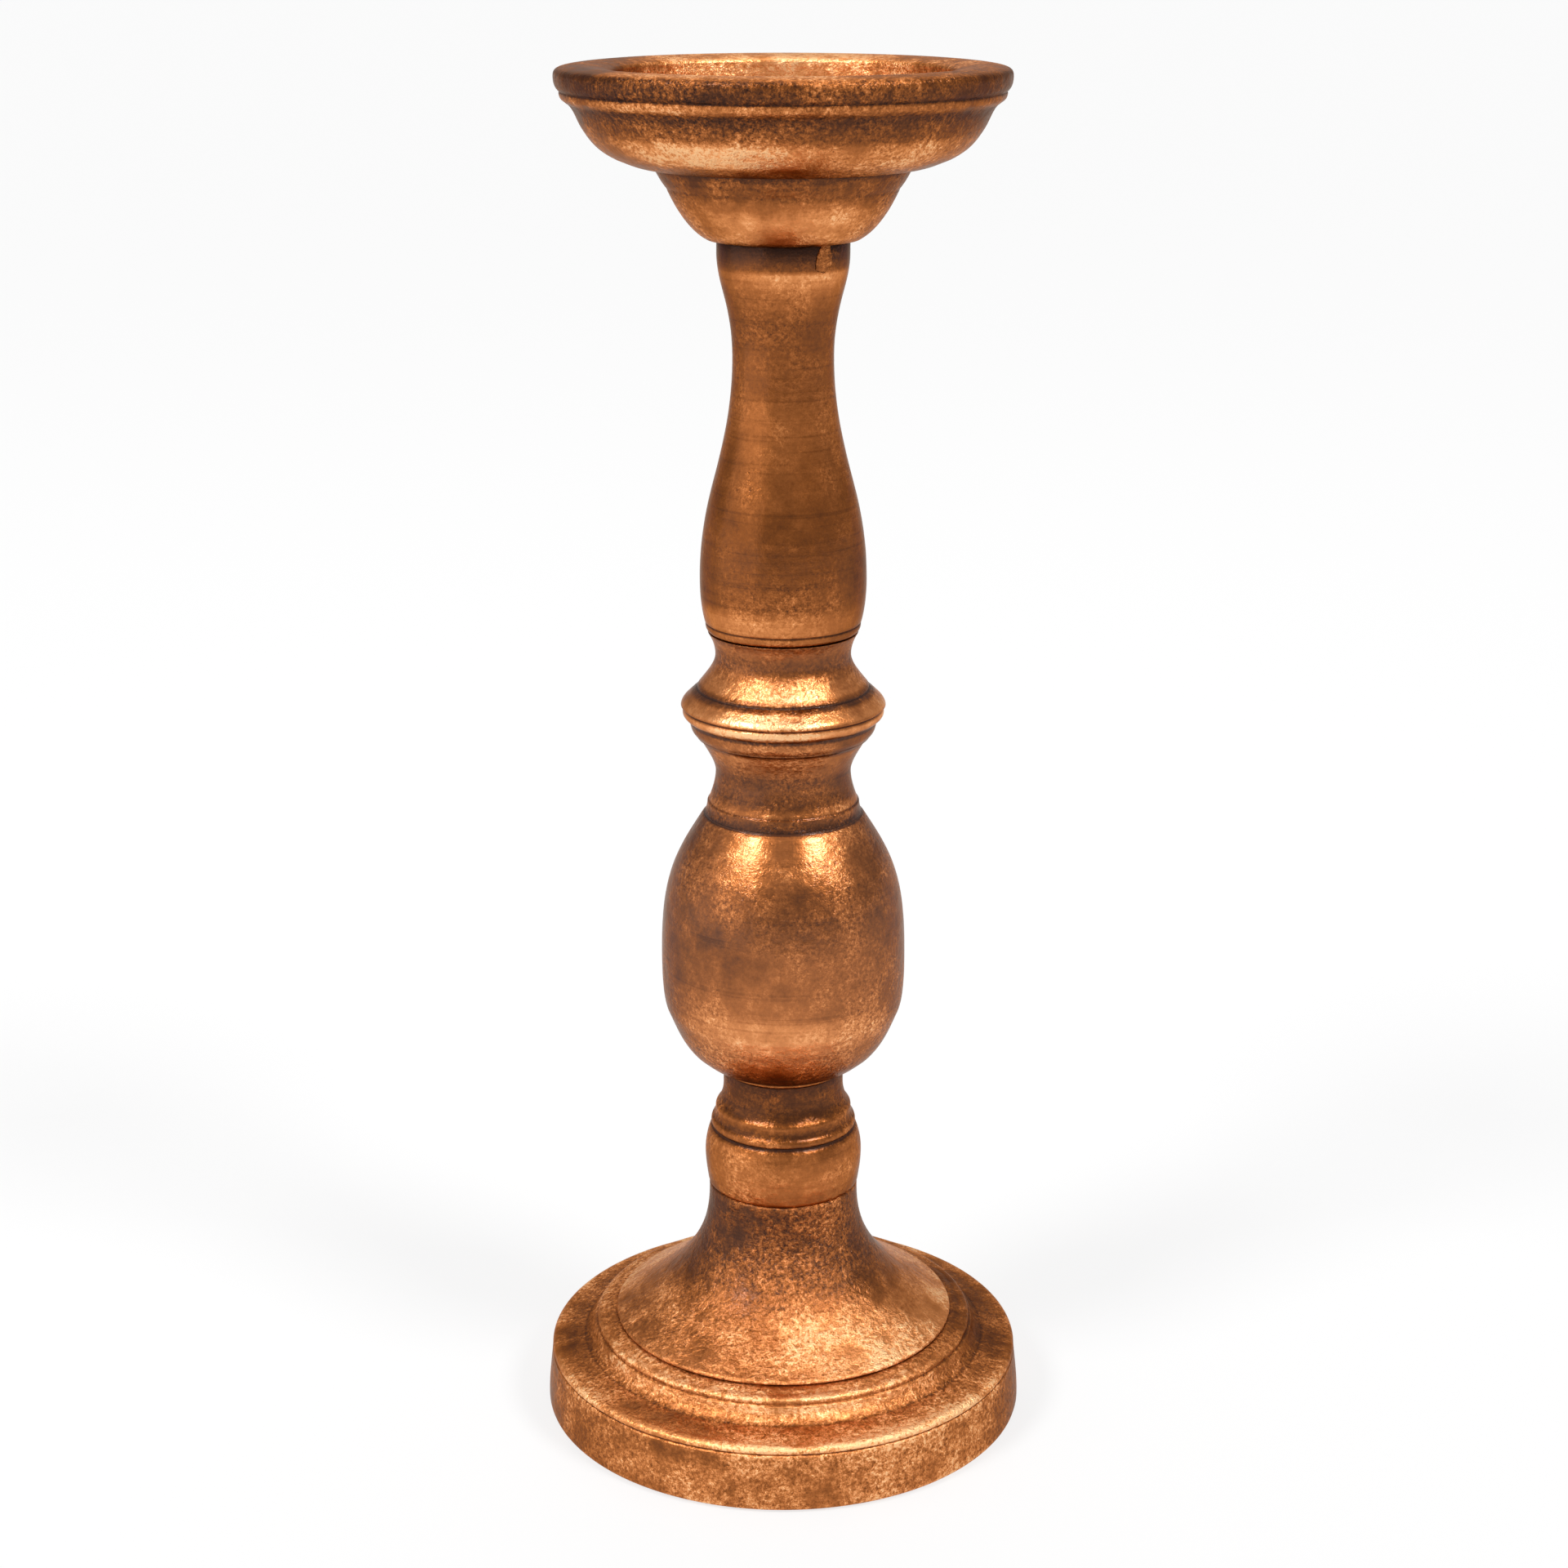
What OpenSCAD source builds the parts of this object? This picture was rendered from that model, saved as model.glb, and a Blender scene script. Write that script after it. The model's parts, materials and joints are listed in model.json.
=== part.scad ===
// Altar candlestick: turned wooden sections stacked on a steel tie rod.
// Each section stands on the one below it, and a tenon on its underside enters a socket there.
// A nut under the base and a nut in the floor of the pan clamp the whole stack.
// Millimetres, +Z up. The origin is the middle of the felt's resting face.

/* [Overall] */
// Height from the table to the crest of the pan's rim
height = 332.3; // [277:0.1:400]
// Diameter of the base
base_d = 120.2; // [100:0.1:160]
// Diameter of the candle well in the pan
well_d = 77; // [64:0.1:93]
// How far the felt holds the wood above the table
felt_lift = 0.5; // [0.2:0.1:1.5]

/* [Turning] */
// Width of a fine lathe groove
groove_w = 0.8; // [0.4:0.1:1.2]
// Depth of a fine lathe groove
groove_depth = 0.4; // [0.1:0.05:0.6]
// Swell of a small bead above the line between its ends
bead_rise = 0.35; // [0.1:0.05:0.6]

/* [Joints] */
// Diameter of the tenons in the column
tenon_d = 16; // [12:0.1:19.5]
// Height of the tenons in the column
tenon_h = 9; // [5:0.5:12]
// Diameter of the tenon under the bell foot
foot_tenon_d = 32; // [22:0.5:60]
// Height of the tenon under the bell foot
foot_tenon_h = 7; // [4:0.5:9]
// Diameter of the tenon under the pan
pan_tenon_d = 30; // [26:0.5:36]
// Height of the tenon under the pan
pan_tenon_h = 8; // [6:0.5:10]
// Gap all round a tenon in its socket
tenon_gap = 0.15; // [0.05:0.05:0.4]
// Room left under a tenon's end
socket_spare = 0.5; // [0.2:0.1:1.5]

/* [Tie rod and nuts] */
// Diameter of the tie rod
rod_d = 6; // [4:0.1:7.5]
// Gap all round the rod in the wood
rod_gap = 0.5; // [0.2:0.1:1]
// Gap all round the rod in its nuts and washers
nut_gap = 0.05; // [0.02:0.01:0.1]
// How far the rod stands out of each nut
rod_end = 0.8; // [0.3:0.1:1.2]
// Width of the nuts across the flats
nut_flats = 10; // [9:0.5:13]
// Thickness of the nuts
nut_h = 5; // [3:0.5:6]
// Diameter of the washer under the base
base_washer_d = 30; // [20:0.5:36]
// Thickness of the washer under the base
base_washer_h = 1.5; // [1:0.1:2]
// Diameter of the split lock washer
lock_washer_d = 11.8; // [10:0.1:14]
// Thickness of the split lock washer
lock_washer_h = 1.6; // [1:0.1:2]
// Width of the split in the lock washer
lock_split = 1.2; // [0.6:0.1:2]
// Diameter of the washer in the pan
pan_washer_d = 18; // [14:0.5:22]
// Thickness of the washer in the pan
pan_washer_h = 1.6; // [1:0.1:2]

/* [Base plinth] */
// Height of the plinth
plinth_h = 24; // [20:0.1:30]
// How much the plinth's side narrows towards its top
side_draft = 1.1; // [0:0.1:3]
// Radius of the plinth's bottom corner
corner_r = 1.2; // [0.5:0.1:2]
// Width of the moulded top of the plinth, from its edge to the bell's skirt
ledge_w = 17.6; // [13:0.1:22]
// Width of the rounded nose at the top of the side
nose_w = 2.7; // [2:0.1:5]
// Height of the rounded nose
nose_h = 2; // [1:0.1:3]
// Height of the S-shaped moulding inside the nose
cove_h = 4.6; // [3:0.1:6]
// Width of the bead around the foot of the bell
ring_w = 5.4; // [3:0.1:7]
// Height of the bead around the foot of the bell
ring_h = 3; // [2:0.1:4]
// Gap all round the base washer in its recess
recess_room = 2; // [0.5:0.5:3]
// Depth of the recess for the nut and washers
nut_recess_depth = 10.5; // [10:0.1:12]

/* [Felt ring] */
// Thickness of the felt
felt_h = 2; // [1.6:0.1:3]
// How far the felt's edge stands in from the base's edge
felt_margin = 5.1; // [3:0.1:12]
// Diameter of the hole that leaves the nut within reach
felt_hole_d = 42; // [40:0.5:60]
// Gap between the felt's edge and its recess
felt_gap = 0.3; // [0.1:0.1:1]

/* [Bell foot] */
// Height of the bell foot
foot_h = 35.3; // [28:0.1:45]
// Diameter of the bell's top
foot_top_d = 37; // [32:0.1:42]
// Height of the rounded edge around the skirt
skirt_edge_h = 1.2; // [0.6:0.1:2]

/* [Bead collar] */
// Height of the collar and its neck
collar_h = 31.7; // [28:0.1:40]
// Diameter of the barrel-shaped bead
barrel_d = 39; // [36:0.1:46]
// Diameter at both ends of the barrel-shaped bead
barrel_end_d = 37; // [34:0.1:40]
// Height of the barrel-shaped bead
barrel_h = 14.4; // [10:0.1:16]
// Diameter of the lower ring above the barrel
low_ring_d = 36; // [35:0.1:37]
// Height of the lower ring above the barrel
low_ring_h = 2.2; // [1.2:0.1:2.8]
// Height of the hollow between the two rings
ring_hollow_h = 2.2; // [1.2:0.1:2.8]
// Diameter of the upper ring above the barrel
high_ring_d = 33.4; // [32:0.1:35]
// Height of the upper ring above the barrel
high_ring_h = 1.6; // [1:0.1:2.4]
// How far each ring leans in towards its top
ring_lean = 0.5; // [0.2:0.1:1]
// Diameter of the neck under the vase
collar_neck_d = 29.7; // [26:0.1:32]
// Height of the straight part of the neck
collar_neck_h = 3.6; // [2:0.1:5]
// Height of the fine bead at the top of the neck
fillet_h = 1.3; // [0.8:0.1:2]

/* [Vase] */
// Height of the vase
vase_h = 65.5; // [55:0.1:80]
// Diameter of the vase at its belly
vase_d = 59.6; // [52:0.1:72]
// Diameter of the vase at its foot
vase_foot_d = 31.8; // [30:0.1:36]
// How far the hip, where the belly turns under, stands in from the belly
hip_in = 1.8; // [0.5:0.1:5]
// Height of the hip
hip_h = 13.6; // [10:0.1:18]
// Height of the belly
belly_h = 27.5; // [22:0.1:32]
// Diameter of the vase's top edge
vase_top_d = 39.4; // [36:0.1:42]

/* [Knop] */
// Height of the knop with its two necks
knop_h = 45.2; // [38:0.1:56]
// Diameter of the knop at its sharp edge
knop_d = 49.2; // [44:0.1:60]
// Diameter of the band at the foot of the lower neck
knop_foot_d = 38; // [35:0.1:39]
// Height of the band at the foot of the lower neck
knop_foot_h = 3; // [2:0.1:4]
// Diameter of both necks
knop_neck_d = 32.4; // [26:0.1:34]
// Share of the knop's height at the lower neck's narrowest place
low_neck_at = 0.226; // [0.2:0.002:0.3]
// Share of the knop's height at the first step under its edge
step_at = 0.416; // [0.38:0.002:0.45]
// How far the first step stands in from the knop's edge
step_in = 4.6; // [3:0.1:6]
// Share of the knop's height at the small bead under its edge
under_bead_at = 0.532; // [0.51:0.002:0.544]
// How far the small bead stands in from the knop's edge
under_bead_in = 1.4; // [1:0.1:2.4]
// Share of the knop's height at its sharp edge
knop_edge_at = 0.594; // [0.58:0.002:0.62]
// Share of the knop's height at the groove above its edge
knop_top_at = 0.686; // [0.67:0.002:0.72]
// How far the groove stands in from the knop's edge
knop_top_in = 3.9; // [3:0.1:5]
// Share of the knop's height at the upper neck's narrowest place
high_neck_at = 0.868; // [0.82:0.002:0.92]
// Diameter of the upper neck's top edge
knop_rim_d = 36; // [34.5:0.1:37]

/* [Shaft] */
// Diameter of the thin ring at the shaft's foot
shaft_ring_d = 37.8; // [37:0.1:39]
// Height of the thin ring at the shaft's foot
shaft_ring_h = 2.2; // [1.6:0.1:3]
// Diameter of the shaft where it is widest
shaft_d = 39.4; // [38:0.1:47]
// Share of the shaft's height where it is widest
shaft_wide_at = 0.125; // [0.1:0.005:0.2]
// Diameter of the shaft where it is narrowest
shaft_neck_d = 23.5; // [20:0.1:28]
// Share of the shaft's height where it is narrowest
shaft_neck_at = 0.71; // [0.6:0.01:0.75]
// Diameter of the shaft's top
shaft_top_d = 30.6; // [27:0.1:33]
// Height of the straight stretch at the shaft's top
shaft_cap_h = 2.5; // [1:0.1:5]

/* [Cup] */
// Height of the cup
cup_h = 16.3; // [14:0.1:20]
// Diameter of the cup's underside
cup_foot_d = 34.2; // [32:0.1:36]
// Diameter of the cup at its fine groove
cup_groove_d = 52.8; // [48:0.1:56]
// Share of the cup's height at its fine groove
cup_groove_at = 0.7; // [0.6:0.01:0.75]
// Diameter of the cup's top
cup_d = 59.4; // [56:0.1:66]

/* [Pan] */
// Height of the pan, from the cup to the crest of the rim
pan_h = 22.5; // [20.5:0.1:28]
// Width of the pan's rim, from the well to the outer edge
rim_w = 13; // [9:0.1:18]
// Depth of the candle well below the crest of the rim
well_depth = 14.3; // [10:0.1:15]
// Height of the rounded lip, from the rim's widest place to its crest
lip_h = 2.6; // [1.5:0.1:4]
// Width of the lip outside its crest
lip_w = 5.5; // [3:0.1:7]
// Drop from the crest to the inner edge of the lip
lip_drop = 1.3; // [0.8:0.1:2]
// Height of the plain band under the lip
band_h = 3; // [2:0.1:4.5]
// Height of the thin bead under the plain band
pan_bead_h = 2.5; // [1.5:0.1:3]
// How far the plain band leans in from the lip
band_lean = 1; // [0.5:0.1:2]
// How far the thin bead leans in below the plain band
pan_bead_lean = 1.9; // [1:0.1:2.5]
// Gap all round the pan washer in the hole that the plug closes
washer_room = 1; // [0.5:0.1:1.5]
// Thickness of the plug over the nut
plug_h = 2.4; // [1.5:0.1:3]
// Gap all round the plug
plug_gap = 0.1; // [0.05:0.05:0.3]
// Gap between the rod's end and the plug
plug_room = 0.4; // [0.2:0.1:1]

/* [Hidden] */

GILT = [0.68, 0.40, 0.18];
STEEL = [0.72, 0.73, 0.75];
FELT = [0.30, 0.08, 0.09];

// Facets of a full turn
turn_facets = 96;
// Straight pieces in one curved stretch of an outline
curve_steps = 10;
// Straight pieces in one bead
bead_steps = 6;
// Chamfer on the ends of tenons, rod and plug
chamfer = 0.6;
// A cut runs this far past the face it opens
past = 1;

// Diameters that follow from those above
pan_d = well_d + 2 * rim_w;
skirt_d = base_d - 2 * ledge_w;
hip_d = vase_d - 2 * hip_in;
felt_d = base_d - 2 * felt_margin;
nut_recess_d = base_washer_d + 2 * recess_room;
plug_hole_d = pan_washer_d + 2 * washer_room;

// Where each section stands
plinth_z = felt_lift;
foot_z = plinth_z + plinth_h;
collar_z = foot_z + foot_h;
vase_z = collar_z + collar_h;
knop_z = vase_z + vase_h;
shaft_z = knop_z + knop_h;
pan_z = height - pan_h;
cup_z = pan_z - cup_h;
shaft_h = cup_z - shaft_z;

// Where the hardware sits
bore_d = rod_d + 2 * rod_gap;
nut_bore_d = rod_d + 2 * nut_gap;
base_washer_z = plinth_z + nut_recess_depth - base_washer_h;
lock_washer_z = base_washer_z - lock_washer_h;
base_nut_z = lock_washer_z - nut_h;
well_floor_z = height - well_depth;
plug_z = well_floor_z - plug_h;
rod_top_z = plug_z - plug_room;
pan_nut_z = rod_top_z - rod_end - nut_h;
pan_washer_z = pan_nut_z - pan_washer_h;
rod_bottom_z = base_nut_z - rod_end;

// ---- Stretches of an outline, as lists of [radius, height] points that go upwards ----

// A sweep from p to q. leave and arrive give the pull at each end, as shares of the sweep's
// width and height: [0, x] sets off straight up, and [x, 0] sets off level.
function sweep(p, q, leave, arrive) = let (
    span = q - p,
    a = p + [leave.x * span.x, leave.y * span.y],
    b = q - [arrive.x * span.x, arrive.y * span.y]
) [for (i = [0:curve_steps]) let (t = i / curve_steps, u = 1 - t)
    u * u * u * p + 3 * u * u * t * a + 3 * u * t * t * b + t * t * t * q];

// A bead from p to q that swells outwards by rise, or a hollow where rise is negative
function bead(p, q, rise) = let (
    span = q - p,
    out = [span.y, -span.x] / norm(span)
) [for (i = [0:bead_steps]) let (t = i / bead_steps) p + t * span + rise * sin(180 * t) * out];

// A V-shaped groove, with its lower edge at p, rising by its width
function groove(p) = [p, p + [-groove_depth, groove_w / 2], p + [0, groove_w]];

// ---- Shared solids ----

// A round peg with chamfered ends, standing on the XY plane
module peg(d, h) {
    rotate_extrude($fn = turn_facets)
        polygon([[0, 0], [d / 2 - chamfer, 0], [d / 2, chamfer], [d / 2, h - chamfer],
                 [d / 2 - chamfer, h], [0, h]]);
}

// A flat ring that stands on the XY plane
module ring(outer_d, inner_d, h) {
    difference() {
        cylinder(d = outer_d, h = h, $fn = turn_facets);
        translate([0, 0, -past])
            cylinder(d = inner_d, h = h + 2 * past, $fn = turn_facets);
    }
}

// A hex nut with its corners bevelled top and bottom
module hex_nut() {
    corner_d = nut_flats / cos(30);
    bevel_h = (corner_d - nut_flats) / 2 * tan(30);
    difference() {
        intersection() {
            cylinder(d = corner_d, h = nut_h, $fn = 6);
            rotate_extrude($fn = turn_facets)
                polygon([[0, 0], [nut_flats / 2, 0], [corner_d / 2, bevel_h],
                         [corner_d / 2, nut_h - bevel_h], [nut_flats / 2, nut_h], [0, nut_h]]);
        }
        translate([0, 0, -past])
            cylinder(d = nut_bore_d, h = nut_h + 2 * past, $fn = turn_facets);
    }
}

// A turned section: its outline spun about the axis, a tenon below and a socket in its top.
// The tenon and the socket may each be left out with a height of 0.
module turned_section(outline, h, foot_tenon, top_socket) {
    difference() {
        union() {
            rotate_extrude($fn = turn_facets)
                polygon(concat([[0, 0]], outline, [[0, h]]));
            if (foot_tenon[1] > 0)
                translate([0, 0, -foot_tenon[1]])
                    peg(foot_tenon[0], foot_tenon[1] + past);
        }
        translate([0, 0, -foot_tenon[1] - past])
            cylinder(d = bore_d, h = h + foot_tenon[1] + 2 * past, $fn = turn_facets);
        if (top_socket[1] > 0)
            translate([0, 0, h - top_socket[1] - socket_spare])
                cylinder(d = top_socket[0] + 2 * tenon_gap,
                         h = top_socket[1] + socket_spare + past, $fn = turn_facets);
    }
}

// ---- Turned sections, from the base up ----

module base_plinth() {
    r = base_d / 2;
    side_top = plinth_h - ring_h - cove_h - nose_h - groove_w;
    nose = [r - side_draft, side_top + groove_w];
    nose_top = [r - nose_w, nose.y + nose_h];
    ring_foot = [skirt_d / 2 + ring_w, plinth_h - ring_h];
    ring_crest = [(skirt_d + ring_w) / 2, plinth_h - ring_h / 3];
    ring_top = [skirt_d / 2 + groove_depth, plinth_h];
    color(GILT) translate([0, 0, plinth_z]) difference() {
        turned_section(concat(
            bead([r - corner_r, 0], [r, corner_r], bead_rise),
            sweep([r, corner_r], [r - side_draft, side_top], leave = [0, 0.35], arrive = [0.35, 0.35]),
            groove([r - side_draft, side_top]),
            sweep(nose, nose_top, leave = [0, 0.55], arrive = [0.55, 0]),
            sweep(nose_top, ring_foot, leave = [0.6, 0.1], arrive = [0.1, 0.7]),
            groove(ring_foot - [0, groove_w / 2]),
            bead(ring_foot + [-groove_w / 2, groove_w / 2], ring_crest, bead_rise),
            bead(ring_crest, ring_top, -bead_rise)
        ), plinth_h, [0, 0], [foot_tenon_d, foot_tenon_h]);
        translate([0, 0, -past])
            cylinder(d = nut_recess_d, h = nut_recess_depth + past, $fn = turn_facets);
        translate([0, 0, -past])
            cylinder(d = felt_d + 2 * felt_gap, h = felt_h - felt_lift + past, $fn = turn_facets);
    }
}

module bell_foot() {
    skirt = skirt_d / 2;
    top = foot_top_d / 2;
    color(GILT) translate([0, 0, foot_z]) turned_section(concat(
        sweep([skirt, 0], [skirt - skirt_edge_h, skirt_edge_h], leave = [0, 0.55], arrive = [0.4, 0.1]),
        sweep([skirt - skirt_edge_h, skirt_edge_h], [top, foot_h - 2 * groove_w],
              leave = [0.46, 0.2], arrive = [0, 0.6]),
        [[top, foot_h - groove_w / 2], [top - groove_depth, foot_h]]
    ), foot_h, [foot_tenon_d, foot_tenon_h], [tenon_d, tenon_h]);
}

module bead_collar() {
    end = barrel_end_d / 2;
    belly = [barrel_d / 2, groove_w / 2 + barrel_h / 2];
    barrel_top = [end, groove_w / 2 + barrel_h];
    low_ring = [low_ring_d / 2, barrel_top.y + groove_w];
    low_ring_top = low_ring + [-ring_lean, low_ring_h];
    high_ring = [high_ring_d / 2, low_ring_top.y + ring_hollow_h];
    high_ring_top = high_ring + [-ring_lean, high_ring_h];
    neck = [collar_neck_d / 2, collar_h - fillet_h - collar_neck_h];
    color(GILT) translate([0, 0, collar_z]) turned_section(concat(
        [[foot_top_d / 2 - groove_depth, 0]],
        sweep([end, groove_w / 2], belly, leave = [0.6, 0.1], arrive = [0, 0.3]),
        sweep(belly, barrel_top, leave = [0, 0.35], arrive = [0.4, 0.3]),
        [[low_ring.x - groove_depth, barrel_top.y + groove_w / 2]],
        bead(low_ring, low_ring_top, bead_rise / 2),
        bead(low_ring_top, high_ring, -bead_rise),
        bead(high_ring, high_ring_top, bead_rise / 2),
        sweep(high_ring_top, neck, leave = [0.5, 0.2], arrive = [0, 0.5]),
        [neck + [0, collar_neck_h]],
        bead([neck.x, collar_h - fillet_h], [neck.x, collar_h], bead_rise)
    ), collar_h, [tenon_d, tenon_h], [tenon_d, tenon_h]);
}

module vase() {
    foot = [vase_foot_d / 2, 0];
    hip = [hip_d / 2, hip_h];
    belly = [vase_d / 2, belly_h];
    top = [vase_top_d / 2, vase_h - groove_w];
    color(GILT) translate([0, 0, vase_z]) turned_section(concat(
        sweep(foot, hip, leave = [0.4, 0], arrive = [0.3, 0.5]),
        sweep(hip, belly, leave = [0.45, 0.15], arrive = [0, 0.7]),
        sweep(belly, top, leave = [0, 0.6], arrive = [0.7, 0.3]),
        [[top.x - groove_w, vase_h - groove_w / 2], [knop_foot_d / 2, vase_h]]
    ), vase_h, [tenon_d, tenon_h], [tenon_d, tenon_h]);
}

module knop() {
    foot = knop_foot_d / 2;
    low_neck = [knop_neck_d / 2, low_neck_at * knop_h];
    high_neck = [knop_neck_d / 2, high_neck_at * knop_h];
    edge = [knop_d / 2, knop_edge_at * knop_h];
    step = [edge.x - step_in, step_at * knop_h];
    under_bead = [edge.x - under_bead_in, under_bead_at * knop_h];
    top = [edge.x - knop_top_in, knop_top_at * knop_h];
    flare = top + [-groove_w, groove_w];
    color(GILT) translate([0, 0, knop_z]) turned_section(concat(
        bead([foot, 0], [foot - groove_w, knop_foot_h], -groove_depth / 2),
        sweep([foot - 1.5 * groove_w, knop_foot_h + groove_w / 2], low_neck,
              leave = [0.35, 0.15], arrive = [0, 0.5]),
        sweep(low_neck, step, leave = [0, 0.45], arrive = [0, 0.05]),
        bead(step + [groove_w, groove_w], under_bead - [groove_depth, groove_w], bead_rise / 4),
        bead(under_bead, edge - [groove_depth, groove_w / 2], bead_rise),
        [edge - [groove_depth, 0]],
        sweep(edge, edge + [-groove_w, groove_w], leave = [0, 0.55], arrive = [0.2, 0.2]),
        bead(edge + [-groove_w, groove_w], top, bead_rise / 2),
        [top - [groove_depth, -groove_w / 2]],
        sweep(flare, high_neck, leave = [0.54, 0.34], arrive = [0, 0.34]),
        sweep(high_neck, [knop_rim_d / 2, knop_h - groove_w / 2], leave = [0, 0.24], arrive = [0.5, 0.3]),
        [[knop_rim_d / 2 - groove_depth, knop_h]]
    ), knop_h, [tenon_d, tenon_h], [tenon_d, tenon_h]);
}

module shaft() {
    ring_r = shaft_ring_d / 2;
    wide = [shaft_d / 2, shaft_wide_at * shaft_h];
    neck = [shaft_neck_d / 2, shaft_neck_at * shaft_h];
    color(GILT) translate([0, 0, shaft_z]) turned_section(concat(
        bead([knop_rim_d / 2 - groove_depth, 0], [ring_r - groove_depth, shaft_ring_h - groove_w / 2],
             bead_rise),
        [[ring_r - groove_w, shaft_ring_h]],
        sweep([ring_r, shaft_ring_h + groove_w / 2], wide, leave = [0.5, 0.3], arrive = [0, 0.6]),
        sweep(wide, neck, leave = [0, 0.39], arrive = [0, 0.37]),
        sweep(neck, [shaft_top_d / 2, shaft_h - shaft_cap_h], leave = [0, 0.5], arrive = [0, 0.3]),
        [[shaft_top_d / 2, shaft_h]]
    ), shaft_h, [tenon_d, tenon_h], [tenon_d, tenon_h]);
}

module cup() {
    line = [cup_groove_d / 2, cup_groove_at * cup_h];
    color(GILT) translate([0, 0, cup_z]) turned_section(concat(
        sweep([cup_foot_d / 2, 0], line, leave = [0.45, 0.2], arrive = [0.2, 0.4]),
        groove(line),
        sweep(line + [groove_depth, groove_w], [cup_d / 2, cup_h], leave = [0.3, 0.2], arrive = [0.3, 0.3])
    ), cup_h, [tenon_d, tenon_h], [pan_tenon_d, pan_tenon_h]);
}

module drip_pan() {
    r = pan_d / 2;
    widest = [r, pan_h - lip_h];
    crest = [r - lip_w, pan_h];
    well_edge = [well_d / 2, pan_h - lip_drop];
    band_foot = widest - [band_lean, band_h];
    bead_foot = band_foot - [pan_bead_lean, pan_bead_h];
    color(GILT) translate([0, 0, pan_z]) difference() {
        turned_section(concat(
            sweep([cup_d / 2 + groove_depth, 0], bead_foot, leave = [0.8, 0.09], arrive = [0.16, 0.22]),
            bead(bead_foot + [groove_depth, groove_w / 2], band_foot - [0, groove_w / 2], bead_rise),
            sweep(band_foot, widest, leave = [0.6, 0.2], arrive = [0, 0.4]),
            sweep(widest, crest, leave = [0, 0.75], arrive = [0.85, 0.15]),
            sweep(crest, well_edge, leave = [0.45, 0], arrive = [0.15, 0.4])
        ), pan_h - lip_drop, [pan_tenon_d, pan_tenon_h], [0, 0]);
        translate([0, 0, pan_h - well_depth])
            cylinder(d = well_d, h = well_depth + past, $fn = turn_facets);
        translate([0, 0, pan_washer_z - pan_z])
            cylinder(d = plug_hole_d, h = well_floor_z - pan_washer_z + past, $fn = turn_facets);
    }
}

// Turned button that closes the hole over the pan nut, flush with the well's floor
module well_plug() {
    color(GILT) translate([0, 0, plug_z])
        peg(plug_hole_d - 2 * plug_gap, plug_h);
}

// ---- Tie rod, nuts, washers and felt ----

module tie_rod() {
    color(STEEL) translate([0, 0, rod_bottom_z])
        peg(rod_d, rod_top_z - rod_bottom_z);
}

module base_washer() {
    color(STEEL) translate([0, 0, base_washer_z])
        ring(base_washer_d, bore_d, base_washer_h);
}

module lock_washer() {
    color(STEEL) translate([0, 0, lock_washer_z]) difference() {
        ring(lock_washer_d, nut_bore_d, lock_washer_h);
        translate([0, -lock_split / 2, -past])
            cube([lock_washer_d, lock_split, lock_washer_h + 2 * past]);
    }
}

module base_nut() {
    color(STEEL) translate([0, 0, base_nut_z])
        hex_nut();
}

module pan_washer() {
    color(STEEL) translate([0, 0, pan_washer_z])
        ring(pan_washer_d, bore_d, pan_washer_h);
}

module pan_nut() {
    color(STEEL) translate([0, 0, pan_nut_z])
        hex_nut();
}

module felt_ring() {
    color(FELT)
        ring(felt_d, felt_hole_d, felt_h);
}

base_plinth();
bell_foot();
bead_collar();
vase();
knop();
shaft();
cup();
drip_pan();
well_plug();
tie_rod();
base_washer();
lock_washer();
base_nut();
pan_washer();
pan_nut();
felt_ring();
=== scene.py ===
import json
import math

import bmesh
import bpy
from mathutils import Matrix, Vector, noise
from mathutils.geometry import interpolate_bezier
from mathutils.kdtree import KDTree


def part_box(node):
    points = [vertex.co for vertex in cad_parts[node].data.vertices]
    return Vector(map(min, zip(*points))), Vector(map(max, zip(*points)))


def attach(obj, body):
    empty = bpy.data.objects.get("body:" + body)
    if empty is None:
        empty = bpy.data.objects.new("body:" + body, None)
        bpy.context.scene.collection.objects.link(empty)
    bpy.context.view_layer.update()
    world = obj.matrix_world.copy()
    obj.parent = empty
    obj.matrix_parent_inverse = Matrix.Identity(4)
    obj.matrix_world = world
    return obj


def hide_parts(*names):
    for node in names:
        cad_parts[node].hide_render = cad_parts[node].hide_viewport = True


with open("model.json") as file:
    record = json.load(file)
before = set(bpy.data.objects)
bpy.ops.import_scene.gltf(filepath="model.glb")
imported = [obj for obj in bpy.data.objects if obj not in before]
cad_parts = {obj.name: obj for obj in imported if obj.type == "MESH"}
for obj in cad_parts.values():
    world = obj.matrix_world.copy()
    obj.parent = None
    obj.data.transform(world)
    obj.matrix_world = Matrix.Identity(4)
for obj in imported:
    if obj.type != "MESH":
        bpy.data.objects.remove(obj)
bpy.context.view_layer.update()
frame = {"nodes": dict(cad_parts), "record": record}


# ---- Camera ----
# A long lens a little above the pan's rim. It looks down at the middle of the stem and takes in
# the whole object.

camera_data = bpy.data.cameras.new("camera")
camera_data.sensor_width = 36
camera_data.lens = 65.275
camera_data.shift_x = 0.00048
camera_data.clip_start = 0.05
camera_data.clip_end = 60
camera = bpy.data.objects.new("camera", camera_data)
camera.location = (0, -0.65479, 0.36887)
camera.rotation_euler = (math.radians(72.587), 0, 0)
bpy.context.collection.objects.link(camera)
bpy.context.scene.camera = camera


# ---- Base plinth ----
# A thick disc turned from a glued-up wooden blank. It is sized, covered with copper-gold leaf
# and aged with a dark wax that stays in the grooves. The bell foot stands on its raised ring, and
# its ledge has one small nick.

MM = 0.001


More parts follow.
